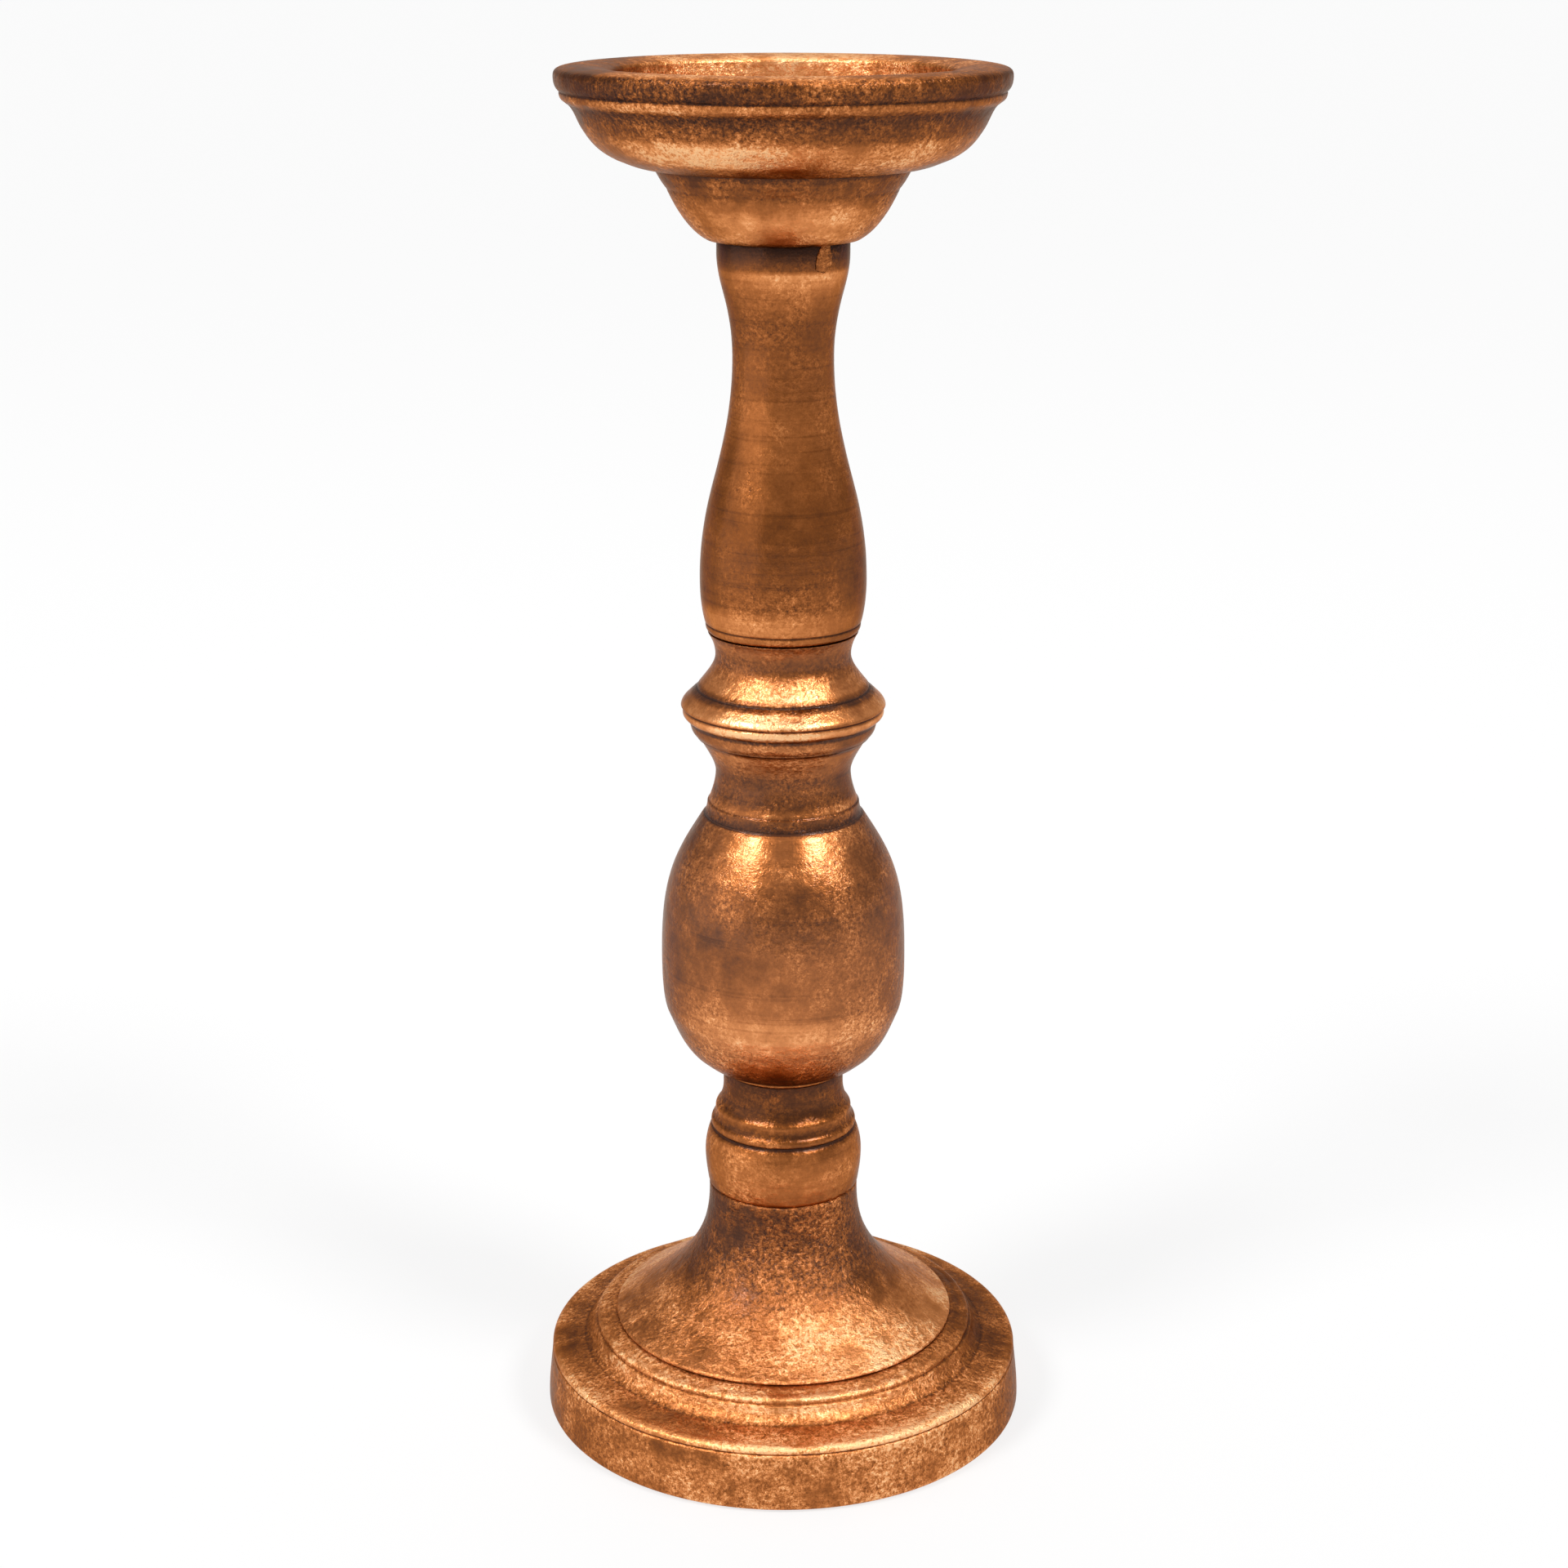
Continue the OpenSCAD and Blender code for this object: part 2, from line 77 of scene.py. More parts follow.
def sweep(p, q, leave, arrive, steps=12):
    """A drawn-out curve of an outline, from p to q. leave and arrive are the pull at each end,
    as shares of the curve's width and height: (0, x) sets off straight up, (x, 0) level."""
    p, q = Vector(p), Vector(q)
    span = q - p
    a = p + Vector((leave[0] * span.x, leave[1] * span.y))
    b = q - Vector((arrive[0] * span.x, arrive[1] * span.y))
    return [Vector(v[:2]) for v in interpolate_bezier(p.to_3d(), a.to_3d(), b.to_3d(), q.to_3d(), steps)]


def bead(p, q, bulge, steps=8):
    """A small bead of an outline from p to q, or a hollow where bulge is negative."""
    p, q = Vector(p), Vector(q)
    out = Vector((q.y - p.y, p.x - q.x)).normalized()
    return [p.lerp(q, i / steps) + bulge * math.sin(math.pi * i / steps) * out for i in range(steps + 1)]


def wax_depth(outline, foot_seam, top_seam):
    """(place, depth) along an outline in mm. depth is how far a place lies in a hollow, where the
    dark wax stays, or below zero how far it stands out, where the leaf is rubbed bright. It is
    weighed over a short and a long reach, counted in steps. foot_seam and top_seam are how much
    wax has crept out of the joint at each end."""
    step = 0.25
    creep = 1.2
    short_reach = (4, 2.2)
    long_reach = (16, 3.2)
    places = []
    for p, q in zip(outline, outline[1:]):
        count = max(1, round((q - p).length / step))
        places += [p.lerp(q, i / count) for i in range(count)]
    places.append(outline[-1])
    readings = []
    for i, place in enumerate(places):
        depth = 0
        for reach, weight in (short_reach, long_reach):
            near = places[max(0, i - reach):i + reach + 1]
            middle = sum(near, Vector((0, 0))) / len(near)
            ahead = (places[min(i + 1, len(places) - 1)] - places[max(i - 1, 0)]).normalized()
            depth += weight * (middle - place).dot(Vector((ahead.y, -ahead.x))) / (reach * step)
        depth += foot_seam * math.exp(-i * step / creep)
        depth += top_seam * math.exp(-(len(places) - 1 - i) * step / creep)
        readings.append((place, max(-1, min(1, depth))))
    return readings


def graded(points, height):
    """The value at a height, eased between (height, value) points that rise in height."""
    for (low, first), (high, last) in zip(points, points[1:]):
        if height < high:
            share = max(0, min(1, (height - low) / (high - low)))
            return first + (last - first) * share * share * (3 - 2 * share)
    return points[-1][1]


def spun(seat, points):
    """A closed section, as (radius, height above seat) in mm, spun about the object's axis, with
    its sharp edges eased."""
    shape = bmesh.new()
    ring = [shape.verts.new((p[0] * MM, 0, seat + p[1] * MM)) for p in points]
    edges = [shape.edges.new(pair) for pair in zip(ring, ring[1:] + ring[:1])]
    bmesh.ops.spin(shape, geom=ring + edges, cent=(0, 0, 0), axis=(0, 0, 1), angle=math.tau,
                   steps=256, use_merge=True, use_duplicate=False)
    bmesh.ops.remove_doubles(shape, verts=shape.verts, dist=1e-6)
    bmesh.ops.recalc_face_normals(shape, faces=shape.faces)
    sharp = [e for e in shape.edges if e.is_manifold and e.calc_face_angle() > math.radians(32)]
    bmesh.ops.bevel(shape, geom=sharp, offset=0.1 * MM, segments=2, profile=0.5, affect="EDGES",
                    material=-1, clamp_overlap=True)
    return shape


def turned(name, seat, outline, inside, toning_and_painted_light, foot_seam=0.7, top_seam=0.7, inner_tone_and_light=0.8, painted_side_shade=0.6):
    """A turned piece. outline is its outer face as (radius, height above seat) in mm, from the
    bottom up, and inside is the rest of its section, from the top down, which closes it.
    toning gives how light the leaf is at each height, as (height, tone) points, from 0 for dark
    glaze to about 1 for bright gold. Its bands are partly the leaf's own colour and partly painted
    light: the bright ones paint reflections of the floor and the lamps, the dark ones paint shade.
    inner_tone_and_light is how light its inside is; in the pan's well it paints a reflection on the wall.
    fade paints light across the piece: it makes bright leaf lighter in front and behind and darker
    at the two sides."""
    shape = spun(seat, list(outline) + list(inside))
    readings = wax_depth([Vector(p) for p in outline], foot_seam, top_seam)
    tree = KDTree(len(readings))
    for i, (place, depth) in enumerate(readings):
        tree.insert((place.x * MM, 0, seat + place.y * MM), i)
    tree.balance()

    skin = 0.3 * MM
    wobble = 0.05 * MM
    wax = shape.verts.layers.float.new("wax")
    # This layer holds the leaf's lightness, with painted reflections and painted shade in it.
    tone_with_painted_light = shape.verts.layers.float.new("tone_with_painted_light")
    for v in shape.verts:
        radius = math.hypot(v.co.x, v.co.y)
        i, far = tree.find((radius, 0, v.co.z))[1:]
        outer = far < skin
        v[wax] = readings[i][1] if outer else 0
        # Painted light: each outer vertex takes the band at its height. The band is partly the leaf's own
        # colour and partly painted reflection and shade.
        v[tone_with_painted_light] = graded(toning_and_painted_light, (v.co.z - seat) / MM) if outer else inner_tone_and_light
        # Painted light: bright leaf is made lighter still in front and behind, and darker at the two sides
        # along x. This is a painted reflection that dims towards the sides.
        if v[tone_with_painted_light] > 0.5 and radius > MM:
            v[tone_with_painted_light] = 0.5 + (v[tone_with_painted_light] - 0.5) * (1.08 - painted_side_shade * (v.co.x / radius) ** 2)
        if outer:
            v.co += Vector((v.co.x, v.co.y, 0)).normalized() * wobble * (
                noise.noise(v.co * 45) + 0.5 * noise.noise(v.co * 260))

    mesh = bpy.data.meshes.new(name)
    shape.to_mesh(mesh)
    shape.free()
    for face in mesh.polygons:
        face.use_smooth = True
    piece = bpy.data.objects.new(name, mesh)
    bpy.context.collection.objects.link(piece)
    return piece


def join(tree, kind, settings=(), **sockets):
    """Adds a node. settings are its own properties, and each socket gets a value or a link."""
    made = tree.nodes.new(kind)
    for key, value in dict(settings).items():
        setattr(made, key, value)
    for key, value in sockets.items():
        socket = made.inputs[int(key[1:])] if key[1:].isdigit() else made.inputs[key.replace("_", " ")]
        if isinstance(value, bpy.types.NodeSocket):
            tree.links.new(value, socket)
        else:
            socket.default_value = value
    return made


def rise(tree, value, low, high, top=1.0):
    """0 below low, top above high, smooth between."""
    return join(tree, "ShaderNodeMapRange", {"interpolation_type": "SMOOTHSTEP"},
                i0=value, i1=low, i2=high, i3=0.0, i4=top).outputs[0]


def reckon(tree, operation, a, b):
    """One sum on two values."""
    return join(tree, "ShaderNodeMath", {"operation": operation}, i0=a, i1=b).outputs[0]


def times(tree, a, b):
    """The product of two values."""
    return reckon(tree, "MULTIPLY", a, b)


def cloud(tree, place, scale, detail=4.0, rough=0.55):
    """Noise with about scale lumps to the metre, from 0 to 1."""
    return join(tree, "ShaderNodeTexNoise", {"noise_dimensions": "3D"}, i0=place, Scale=scale,
                Detail=detail, Roughness=rough).outputs[0]


def ramp(tree, value, stops):
    """A colour for a value. stops are (value, colour), in rising order."""
    made = join(tree, "ShaderNodeValToRGB", Fac=value)
    bands = made.color_ramp.elements
    bands[0].position, bands[0].color = stops[0]
    bands[1].position, bands[1].color = stops[-1]
    for position, colour in stops[1:-1]:
        bands.new(position).color = colour
    return made.outputs["Color"]


def total(tree, *values):
    """The sum of several values."""
    result = values[0]
    for value in values[1:]:
        result = reckon(tree, "ADD", result, value)
    return result


def swing(tree, value, amount):
    """A cloud's value as a swing about 0."""
    return times(tree, reckon(tree, "SUBTRACT", value, 0.5), amount)


LEAF_TONES = (
    (0.00, (0.010, 0.003, 0.001, 1)),
    (0.20, (0.042, 0.011, 0.003, 1)),
    (0.35, (0.108, 0.030, 0.006, 1)),
    (0.50, (0.245, 0.069, 0.010, 1)),
    (0.65, (0.430, 0.132, 0.028, 1)),
    (0.80, (0.690, 0.245, 0.070, 1)),
    (0.92, (0.930, 0.395, 0.145, 1)),
    (1.00, (1.000, 0.570, 0.270, 1)))
MIDDLE_TONE = 0.46


def leaf(name, shift, grit=0.5, lathe=0.3, tooth=0.26, shellac=0.1):
    """Aged copper-gold leaf over brown size. shift moves its pattern. grit is how much of the leaf
    has broken up into grains, lathe how plain the tool marks are, tooth the height of its grains
    in mm and shellac how thick its varnish lies."""
    finish = bpy.data.materials.new(name)
    finish.use_nodes = True
    tree = finish.node_tree
    shader = tree.nodes["Principled BSDF"]
    object_place = join(tree, "ShaderNodeTexCoord").outputs["Object"]
    place = join(tree, "ShaderNodeMapping", Vector=object_place, Location=shift).outputs[0]
    rings = join(tree, "ShaderNodeMapping", Vector=object_place, Scale=(0.02, 0.02, 1)).outputs[0]
    depth = join(tree, "ShaderNodeAttribute", {"attribute_name": "wax"}).outputs["Fac"]
    # This attribute brings painted reflections and painted shade, along with the leaf's own lightness.
    tone_with_painted_light = join(tree, "ShaderNodeAttribute", {"attribute_name": "tone_with_painted_light"}).outputs["Fac"]

    broad = cloud(tree, place, 16, 2)
    patches = cloud(tree, place, 34, 3)
    mottle = cloud(tree, place, 170, 4, 0.6)
    grain = cloud(tree, place, 1000, 3, 0.75)
    dust = cloud(tree, place, 2600, 2, 0.6)
    streak = cloud(tree, rings, 800, 3, 0.7)

    # Worn places, where the leaf has broken up into grains.
    worn = total(tree, swing(tree, patches, 2.2), swing(tree, mottle, 1.6), grit)
    worn = rise(tree, worn, 0.0, 1.0)
    grains = total(tree, swing(tree, grain, 1.3), swing(tree, dust, 0.5))
    grains = times(tree, grains, total(tree, worn, 0.16))

    # How light the leaf is: its tone, which carries painted reflections and painted shade,
    # its patches and grains, its tool marks and its rubbed edges.
    contrast = total(tree, 0.82, swing(tree, broad, 2.2))
    level = times(tree, reckon(tree, "SUBTRACT", tone_with_painted_light, MIDDLE_TONE), contrast)
    level = total(tree, level, MIDDLE_TONE, swing(tree, patches, 0.3 + 0.9 * grit),
                  swing(tree, mottle, 0.2 + 0.7 * grit), grains)
    level = reckon(tree, "SUBTRACT", level, rise(tree, streak, 0.5, 0.7, 0.16 * lathe))
    level = reckon(tree, "SUBTRACT", level, times(tree, reckon(tree, "MINIMUM", depth, 0), 0.12))

    # Dark wax in the hollows.
    waxed = total(tree, depth, swing(tree, mottle, 0.6), swing(tree, grain, -0.5))
    waxed = rise(tree, waxed, 0.1, 0.9)
    level = times(tree, level, reckon(tree, "SUBTRACT", 1.0, times(tree, waxed, 0.55)))
    tree.links.new(ramp(tree, level, LEAF_TONES), shader.inputs["Base Color"])

    shader.inputs["Metallic"].default_value = 0.94
    shader.inputs["Specular Tint"].default_value = (0.62, 0.46, 0.36, 1)
    rough = total(tree, 0.30, times(tree, worn, 0.08), times(tree, waxed, 0.16))
    tree.links.new(rough, shader.inputs["Roughness"])
    shader.inputs["Coat Weight"].default_value = shellac
    shader.inputs["Coat IOR"].default_value = 2.0
    shader.inputs["Coat Roughness"].default_value = 0.16

    # A few small blisters under the leaf.
    blisters = join(tree, "ShaderNodeTexVoronoi", Vector=place, Scale=120.0)
    pimple = reckon(tree, "SUBTRACT", 1.0, rise(tree, blisters.outputs["Distance"], 0.02, 0.09))
    picked = join(tree, "ShaderNodeSeparateColor", Color=blisters.outputs["Color"]).outputs[0]
    pimple = times(tree, pimple, reckon(tree, "GREATER_THAN", picked, 0.8))

    relief = total(tree, grain, times(tree, dust, 0.3))
    relief = times(tree, relief, total(tree, 0.2, times(tree, worn, 0.8)))
    relief = total(tree, relief, times(tree, mottle, 0.5), times(tree, streak, 0.4 * lathe),
                   times(tree, pimple, 0.4))
    bump = join(tree, "ShaderNodeBump", Strength=1.0, Distance=tooth * MM, Height=relief)
    tree.links.new(bump.outputs[0], shader.inputs["Normal"])
    tree.links.new(bump.outputs[0], shader.inputs["Coat Normal"])
    return finish


def dress(piece, finish, material_slot, *nodes):
    """Gives a piece its finish, lets it ride with the object and stand for its CAD nodes."""
    piece.data.materials.append(finish)
    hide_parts(*nodes)
    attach(piece, "root")


ROD_HOLE_R = 3.5
FOOT_TENON = (16.0, 7.0)
TENON_GAP = 0.15
GLUE_ROOM = 0.5


def socket(size, top):
    """The section of a socket in a top face, from the face in to the bore. size is the radius and
    length of its tenon in mm."""
    radius, length = size
    floor = top - length - GLUE_ROOM
    return [(radius + TENON_GAP, top), (radius + TENON_GAP, floor), (ROD_HOLE_R, floor)]


plinth_low, plinth_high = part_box("base_plinth")
plinth_h = (plinth_high.z - plinth_low.z) / MM
plinth_r = plinth_high.x / MM
skirt_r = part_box("bell_foot")[1].x / MM
felt_recess_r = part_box("felt_ring")[1].x / MM + 0.3
nut_recess_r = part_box("base_washer")[1].x / MM + 2
nut_recess_h = 10.5
felt_recess_h = 1.5
nose_r = plinth_r - 1.1
ring_r = skirt_r + 5.4
plinth = turned(
    "base_plinth_leafed", plinth_low.z,
    bead((plinth_r - 1.2, 0), (plinth_r, 1.2), 0.35)
    + sweep((plinth_r, 1.2), (nose_r, 13.9), (0, 0.35), (0.35, 0.35))
    + [Vector((nose_r - 0.45, 14.35))]
    + sweep((nose_r - 0.05, 14.8), (nose_r - 1.7, 16.35), (0, 0.6), (0.6, 0.04))
    + sweep((nose_r - 1.7, 16.35), (ring_r + 2.7, 17.4), (0.3, 0.02), (0.35, 0.2))
    + sweep((ring_r + 2.7, 17.4), (ring_r + 0.1, 21.1), (0.5, 0.25), (0.2, 0.5))
    + [Vector((ring_r - 0.5, 21.4))]
    + sweep((ring_r - 0.5, 21.7), (ring_r - 2.6, 23.1), (0.02, 0.7), (0.6, 0.05))
    + sweep((ring_r - 2.6, 23.1), (skirt_r + 0.3, plinth_h - 0.25), (0.3, 0.2), (0.5, 0)),
    socket(FOOT_TENON, plinth_h)
    + [(ROD_HOLE_R, nut_recess_h), (nut_recess_r, nut_recess_h), (nut_recess_r, felt_recess_h),
       (felt_recess_r, felt_recess_h), (felt_recess_r, 0)],
    # Painted light over the leaf's own colour: the bright nose, riser and ring top are painted reflections.
    ((0, 0.73), (8, 0.77), (13.5, 0.70), (14.6, 0.88), (16.2, 0.95), (16.9, 0.70), (17.4, 0.74),
     (18.5, 0.95), (20.5, 0.98), (21.5, 0.75), (23, 0.90), (24.5, 0.82)),
    foot_seam=0.3, inner_tone_and_light=0.4)
nick_place = Vector((-16.5, -49.5, 17.2)) * MM + Vector((0, 0, plinth_low.z))
nick_reach = 2.2 * MM
nick_depth = 0.7 * MM
for v in plinth.data.vertices:
    near = 1 - (v.co - nick_place).length / nick_reach
    if near > 0:
        v.co.z -= nick_depth * near
dress(plinth, leaf("leaf_plinth", (0.31, 0.17, 0.05), grit=0.6, tooth=0.45), "gilt_wood", "base_plinth")


# ---- Bell foot ----
# A concave bell turned in one piece with its skirt. Its tenon is glued into the plinth, and the
# stem's lowest tenon enters its top.

COLUMN_TENON = (8.0, 9.0)
TENON_CHAMFER = 0.6


def tenon(size):
    """A tenon's section below the seat, from the bore out to the shoulder."""
    radius, length = size
    return [(radius - TENON_CHAMFER, -length), (radius, TENON_CHAMFER - length), (radius, 0)]


bell_z = plinth_high.z
bell_h = (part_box("bell_foot")[1].z - bell_z) / MM
bell_top_r = 18.5
bell = turned(
    "bell_foot_leafed", bell_z,
    sweep((skirt_r, 0), (skirt_r - 1.3, 1.25), (0, 0.6), (0.4, 0.15))
    + sweep((skirt_r - 1.3, 1.25), (bell_top_r, bell_h - 2.2), (0.45, 0.19), (0, 0.58), steps=26)
    + [Vector((bell_top_r, bell_h - 0.5)), Vector((bell_top_r - 0.4, bell_h))],
    socket(COLUMN_TENON, bell_h) + [(ROD_HOLE_R, -FOOT_TENON[1])] + tenon(FOOT_TENON),
    # Painted light over the leaf's own colour: the bright lower slope is a painted reflection of the lamps
    # and the sky, and the dark upper bell is painted shade.
    ((0, 0.90), (1.2, 1.12), (8, 1.10), (11, 0.88), (15, 0.54), (20, 0.36), (33, 0.38), (35, 0.44)),
    foot_seam=0.5, painted_side_shade=0.25)
dress(bell, leaf("leaf_bell", (0.3, 0.1, 0), grit=0.55, tooth=0.5, shellac=0.14), "gilt_wood", "bell_foot")


# ---- Bead collar ----
# The lowest section of the stem: a barrel-shaped bead, two fine rings and a short neck, turned
# from one spindle blank.

collar_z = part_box("bell_foot")[1].z
collar_h = (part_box("bead_collar")[1].z - collar_z) / MM
collar = turned(
    "bead_collar_leafed", collar_z,
    sweep((18.1, 0), (18.8, 1.2), (0.6, 0.1), (0.1, 0.5), 5)
    + sweep((18.8, 1.2), (19.5, 8.2), (0.5, 0.35), (0, 0.4))
    + sweep((19.5, 8.2), (18.4, 14.3), (0, 0.4), (0.5, 0.25))
    + [Vector((17.75, 15.0)), Vector((17.7, 15.5))]
    + bead((17.95, 15.8), (17.7, 17.3), 0.15)
    + sweep((17.7, 17.3), (16.85, 19.6), (0.6, 0.15), (0.1, 0.4), 8)
    + bead((16.85, 19.6), (16.35, 21.2), 0.2)
    + sweep((16.35, 21.2), (14.85, 26.7), (0.6, 0.2), (0, 0.45))
    + [Vector((14.85, collar_h - 1.5))]
    + bead((14.9, collar_h - 1.4), (14.9, collar_h - 0.1), 0.4),
    socket(COLUMN_TENON, collar_h) + [(ROD_HOLE_R, -COLUMN_TENON[1])] + tenon(COLUMN_TENON),
    # Lightness by height: partly the leaf's own colour, and partly painted reflection and shade on the
    # barrel and rings.
    ((0, 0.70), (5, 0.86), (13.5, 0.78), (15.2, 0.48), (16.5, 0.66), (18, 0.45), (20.4, 0.66), (22, 0.46),
     (27, 0.44), (30, 0.50), (31, 0.66)))
dress(collar, leaf("leaf_collar", (0.1, 0.4, 0), grit=0.4, tooth=0.35), "gilt_wood", "bead_collar")


# ---- Vase ----
# The egg-shaped body of the stem, fullest just below its middle. Fine tool marks run round its
# belly, and its leaf is thickly varnished.

vase_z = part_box("bead_collar")[1].z
vase_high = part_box("vase")[1]
vase_h = (vase_high.z - vase_z) / MM
vase_r = vase_high.x / MM
vase = turned(
    "vase_leafed", vase_z,
    sweep((16.2, 0), (22.4, 4.1), (0.39, 0.17), (0.32, 0.41))
    + sweep((22.4, 4.1), (vase_r - 1.3, 15.1), (0.52, 0.29), (0.25, 0.32), 16)
    + sweep((vase_r - 1.3, 15.1), (vase_r, 28.5), (0.77, 0.17), (0, 0.48), 16)
    + sweep((vase_r, 28.5), (19.7, vase_h - 0.9), (0, 0.56), (0.68, 0.3), 32)
    + [Vector((18.9, vase_h - 0.3)), Vector((18.9, vase_h))],
    socket(COLUMN_TENON, vase_h) + [(ROD_HOLE_R, -COLUMN_TENON[1])] + tenon(COLUMN_TENON),
    # Painted light over the leaf's own colour: the bright band under the belly is a painted reflection of
    # the floor, and the light top paints a sheen round the lamps' highlights. The sides are painted darker
    # than the front.
    ((0, 0.47), (4, 0.54), (9, 0.80), (15, 1.04), (19, 0.94), (24, 0.70), (32, 0.64), (46, 0.49),
     (51, 0.53), (57, 0.74), (62, 0.86)),
    top_seam=0.5, painted_side_shade=1.3)
vase_leaf = leaf("leaf_vase", (0.7, 0.2, 0), grit=0.36, lathe=0.4, tooth=0.24, shellac=0.22)
dress(vase, vase_leaf, "gilt_wood", "vase")


# ---- Knop ----
# The moulded knop between its two necks: a sharp edge with fine beads under it and a plain slope
# above, where a hand would grip the stem.

knop_z = vase_high.z
knop_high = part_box("knop")[1]
knop_h = (knop_high.z - knop_z) / MM
knop_r = knop_high.x / MM
knop = turned(
    "knop_leafed", knop_z,
    bead((18.9, 0), (18.3, 2.8), -0.12)
    + [Vector((17.95, 3.1))]
    + sweep((17.9, 3.3), (16.25, 10.4), (0.3, 0.18), (0, 0.4))
    + sweep((16.25, 10.4), (19.8, 18.5), (0, 0.32), (0.38, 0.3))
    + [Vector((20.3, 19.0)), Vector((20.8, 19.3))]
    + bead((20.9, 19.6), (22.3, 22.3), 0.3)
    + [Vector((22.3, 22.8)), Vector((22.6, 23.4))]
    + bead((23.3, 23.9), (24.0, 25.9), 0.4)
    + [Vector((23.75, 26.3))]
    + sweep((knop_r - 0.1, 26.8), (knop_r - 1.1, 28.5), (0.1, 0.4), (0.5, 0.3), 8)
    + sweep((knop_r - 1.1, 28.5), (21.0, 30.7), (0.4, 0.4), (0.4, 0.3), 8)
    + [Vector((20.45, 31.0)), Vector((20.4, 31.3))]
    + sweep((20.5, 31.5), (16.15, 39.2), (0.5, 0.36), (0, 0.32), 16)
    + sweep((16.15, 39.2), (17.9, knop_h - 0.4), (0, 0.4), (0.5, 0.25)),
    socket(COLUMN_TENON, knop_h) + [(ROD_HOLE_R, -COLUMN_TENON[1])] + tenon(COLUMN_TENON),
    # Painted light over the leaf's own colour: the light slope and edge are painted reflections of the
    # lamps, and the dark dips at the grooves are painted shade.
    ((0, 0.36), (3, 0.44), (3.6, 0.80), (6, 0.44), (10, 0.52), (15, 0.74), (18.2, 0.86), (19.1, 0.40),
     (20.2, 0.66), (22.2, 0.66), (23.3, 0.38), (24.4, 0.96), (25.6, 1.08), (26.5, 0.46), (27.6, 1.02),
     (29.6, 0.96), (30.6, 0.42), (31.4, 0.40), (32.8, 1.00), (36.5, 0.88), (40, 0.64), (43, 0.80),
     (45, 0.64)),
    foot_seam=0.5, top_seam=0.2, painted_side_shade=0.05)
dress(knop, leaf("leaf_knop", (0.2, 0.9, 0), grit=0.38, tooth=0.34, shellac=0.18), "gilt_wood", "knop")


# ---- Shaft ----
# The tall baluster that carries the cup, turned thin at its neck. Its leaf is the most even of
# all. Its top under the cup is painted dark as the cup's shadow, over a little dark wax that
# creeps from the joint.

shaft_z = knop_high.z
shaft_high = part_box("shaft")[1]
shaft_h = (shaft_high.z - shaft_z) / MM
shaft_r = shaft_high.x / MM
shaft = turned(
    "shaft_leafed", shaft_z,
    bead((17.85, 0), (18.45, 1.7), 0.2)
    + [Vector((18.3, 2.0))]
    + sweep((18.6, 2.3), (shaft_r, 0.133 * shaft_h), (0.6, 0.25), (0, 0.42))
    + sweep((shaft_r, 0.133 * shaft_h), (16.4, 0.388 * shaft_h), (0, 0.39), (0.56, 0.3), 18)
    + sweep((16.4, 0.388 * shaft_h), (11.75, 0.712 * shaft_h), (0.56, 0.33), (0, 0.37), 18)
    + sweep((11.75, 0.712 * shaft_h), (15.3, shaft_h - 3), (0, 0.5), (0, 0.3), 18)
    + [Vector((15.3, shaft_h))],
    socket(COLUMN_TENON, shaft_h) + [(ROD_HOLE_R, -COLUMN_TENON[1])] + tenon(COLUMN_TENON),
    # Painted light over the leaf's own colour: the light bands at the foot and on the flare under the cup
    # are painted reflections, and the dark top is a painted shadow of the cup.
    ((0, 0.64), (2, 0.80), (3.2, 0.96), (5.5, 0.94), (9, 0.51), (16, 0.46), (34, 0.60), (50, 0.70),
     (62, 0.52), (73, 0.44), (79, 0.62), (84.6, 0.86), (85.6, 0.44), (91, 0.12)),
    foot_seam=0.35, top_seam=0.4)
dress(shaft, leaf("leaf_shaft", (0.5, 0.6, 0), grit=0.14, lathe=0.4), "gilt_wood", "shaft")


# ---- Cup ----
# A small bowl turned as a bracket for the pan. Its underside overhangs the shaft at a dark joint,
# which one run of glaze has crossed.

PAN_TENON = (15.0, 8.0)

cup_z = shaft_high.z
cup_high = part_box("cup")[1]
cup_h = (cup_high.z - cup_z) / MM
cup = turned(
    "cup_leafed", cup_z,
    sweep((15.5, 0), (17.6, 0.25), (0.5, 0), (0.5, 0.5), 4)
    + sweep((17.6, 0.25), (26.3, 11.1), (0.45, 0.18), (0.2, 0.35), 18)
    + [Vector((26.42, 11.5))]
    + sweep((26.7, 11.9), (29.4, cup_h), (0.35, 0.25), (0.25, 0.3)),
    socket(PAN_TENON, cup_h) + [(ROD_HOLE_R, -COLUMN_TENON[1])] + tenon(COLUMN_TENON),
    # Painted light over the leaf's own colour: the light underside is a painted reflection of the floor.
    ((0, 0.60), (1.5, 0.88), (7, 0.96), (10, 0.74), (11.5, 0.60), (14, 0.56), (16, 0.46)),
    foot_seam=0.4, painted_side_shade=0.8)

# The run is a flat drop that leans and widens towards its foot.
run_turn = Matrix.Rotation(math.radians(38), 4, "Z")
run_place = Vector((0, -15.3, -1.9))
run_half = Vector((2.0, 0.4, 3.9))
run_tone = 0.6
run = bmesh.new()
run.from_mesh(cup.data)
tone_layer = run.verts.layers.float["tone_with_painted_light"]
for v in bmesh.ops.create_uvsphere(run, u_segments=16, v_segments=12, radius=1)["verts"]:
    v[tone_layer] = run_tone
    v.co.x = v.co.x * (1 - 0.3 * v.co.z) + 0.35 * v.co.z
    v.co *= 1 + 0.4 * noise.noise(v.co * 1.2)
    v.co = run_turn @ (v.co * run_half + run_place) * MM
    v.co.z += cup_z
run.to_mesh(cup.data)
run.free()
for face in cup.data.polygons:
    face.use_smooth = True
dress(cup, leaf("leaf_cup", (0.9, 0.3, 0), grit=0.55, tooth=0.35), "gilt_wood", "cup")


# ---- Drip pan ----
# A wide dish with a thick rounded rim and a straight-sided well for the candle, turned from a
# second disc and held by the tie rod's upper nut in its floor.

